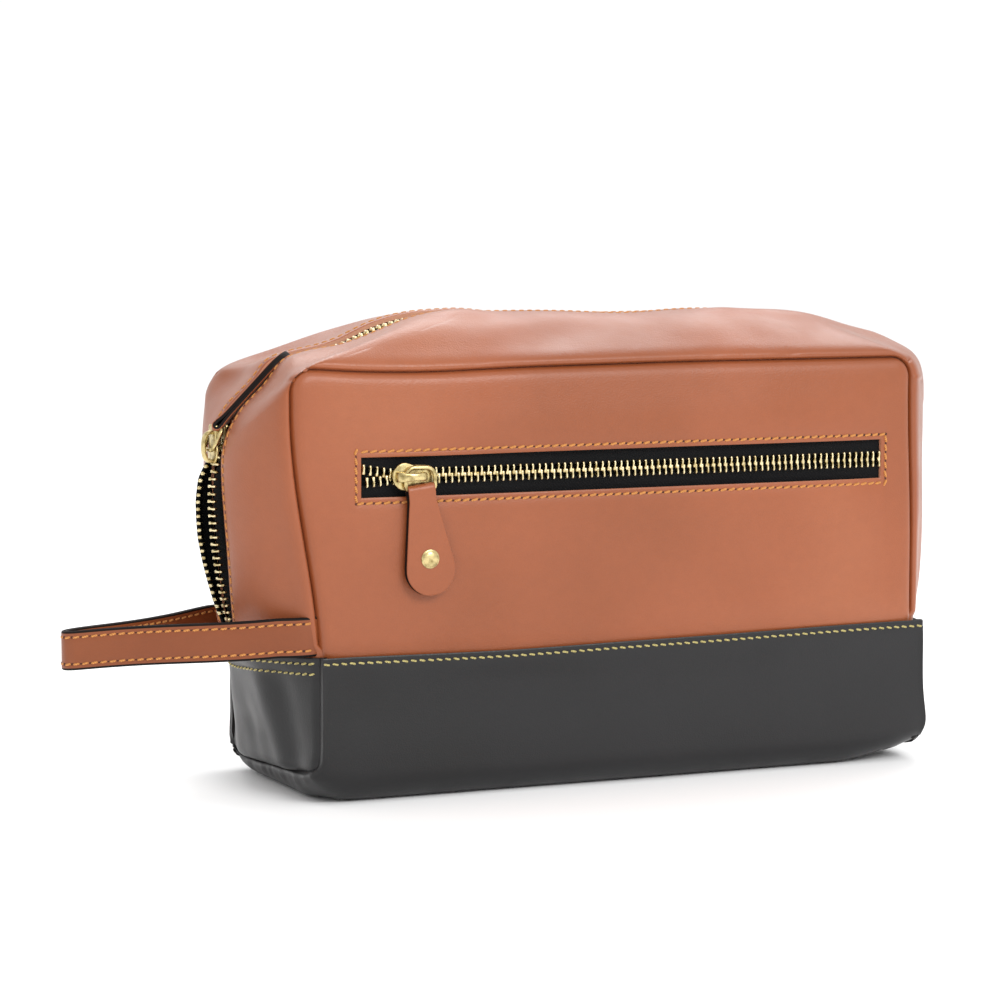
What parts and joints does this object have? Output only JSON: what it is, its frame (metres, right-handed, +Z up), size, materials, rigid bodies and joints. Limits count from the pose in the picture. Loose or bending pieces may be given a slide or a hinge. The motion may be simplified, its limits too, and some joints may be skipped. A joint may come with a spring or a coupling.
{
  "type": "shaving kit bag",
  "caption": "Boxy two-tone leather bag with a wrap-round main zip, a zipped front pocket with a leather pull, and a wrist strap loop at one end.",
  "frame": {"origin": "centre of the base between the end seams, on the surface it stands on", "axes": "+X along the length, away from the strap; +Y to the back, away from the pocket; +Z up"},
  "size_m": [0.3666, 0.101, 0.185],
  "materials": {
    "tan_leather": "smooth satin leather",
    "black_leather": "smooth satin leather",
    "lining_cloth": "plain woven cloth",
    "zip_tape": "herringbone zip tape",
    "antique_brass": "antique brass",
    "board": "fibreboard"
  },
  "bodies": {
    "base": {"base_wrap": "black_leather", "left_end_base": "black_leather", "right_end_base": "black_leather", "base_board": "board", "base_lining": "lining_cloth", "left_gusset_foot": "tan_leather", "right_gusset_foot": "tan_leather", "left_zip_stops": "antique_brass", "right_zip_stop": "antique_brass"},
    "front_half": {"front_panel": "tan_leather", "front_gusset": "tan_leather", "front_lining": "lining_cloth", "front_binding": "lining_cloth", "pocket_bag": "lining_cloth", "main_tape_front": "zip_tape", "main_teeth_front": "antique_brass", "pocket_tape_upper": "zip_tape", "pocket_tape_lower": "zip_tape", "pocket_teeth_upper": "antique_brass", "pocket_teeth_lower": "antique_brass", "pocket_stops_left": "antique_brass", "pocket_stop_right": "antique_brass"},
    "back_half": {"back_panel": "tan_leather", "back_gusset": "tan_leather", "back_lining": "lining_cloth", "back_binding": "lining_cloth", "main_tape_back": "zip_tape", "main_teeth_back": "antique_brass"},
    "main_slider": {"main_slider_body": "antique_brass", "main_slider_bridge": "antique_brass"},
    "main_ring": {"main_pull_ring": "antique_brass"},
    "main_tab": {"main_pull_tab": "tan_leather", "main_pull_rivet": "antique_brass"},
    "pocket_slider": {"pocket_slider_body": "antique_brass", "pocket_slider_bridge": "antique_brass"},
    "pocket_ring": {"pocket_pull_ring": "antique_brass"},
    "pocket_tab": {"pocket_pull_tab": "tan_leather", "pocket_pull_rivet": "antique_brass"},
    "strap": {"strap_outer": "tan_leather", "strap_inner": "tan_leather"}
  },
  "joints": [
    {"name": "front_hinge", "type": "hinge", "parent": "base", "child": "front_half", "pos_m": [0, -0.0476, 0.0573], "axis": [1, 0, 0], "range_deg": [0, 28]},
    {"name": "back_hinge", "type": "hinge", "parent": "base", "child": "back_half", "pos_m": [0, 0.0476, 0.0573], "axis": [1, 0, 0], "range_deg": [-28, 0]},
    {"name": "main_slide", "type": "slide", "parent": "back_half", "child": "main_slider", "axis": [0, 0, -1], "range_m": [0, 0.045]},
    {"name": "main_ring_swing", "type": "hinge", "parent": "main_slider", "child": "main_ring", "pos_m": [-0.15355, 0, 0.1327], "axis": [0, -1, 0], "range_deg": [0, 35]},
    {"name": "main_tab_swing", "type": "hinge", "parent": "main_ring", "child": "main_tab", "pos_m": [-0.15355, 0, 0.1417], "axis": [0, -1, 0], "range_deg": [0, 181]},
    {"name": "pocket_slide", "type": "slide", "parent": "front_half", "child": "pocket_slider", "axis": [1, 0, 0], "range_m": [-0.009, 0.191]},
    {"name": "pocket_ring_swing", "type": "hinge", "parent": "pocket_slider", "child": "pocket_ring", "pos_m": [-0.08245, -0.0508, 0.124], "axis": [-1, 0, 0], "range_deg": [0, 12]},
    {"name": "pocket_tab_swing", "type": "hinge", "parent": "pocket_ring", "child": "pocket_tab", "pos_m": [-0.08245, -0.0508, 0.1188], "axis": [-1, 0, 0], "range_deg": [0, 122]},
    {"name": "strap_swing", "type": "hinge", "parent": "base", "child": "strap", "pos_m": [-0.14, 0, 0.0645], "axis": [0, 1, 0], "range_deg": [-30, 35]}
  ],
  "couplings": [
    {"joint": "back_hinge", "follows": "front_hinge", "ratio": -1},
    {"joint": "main_tab_swing", "follows": "main_slide", "rad_per_m": 69.813}
  ]
}
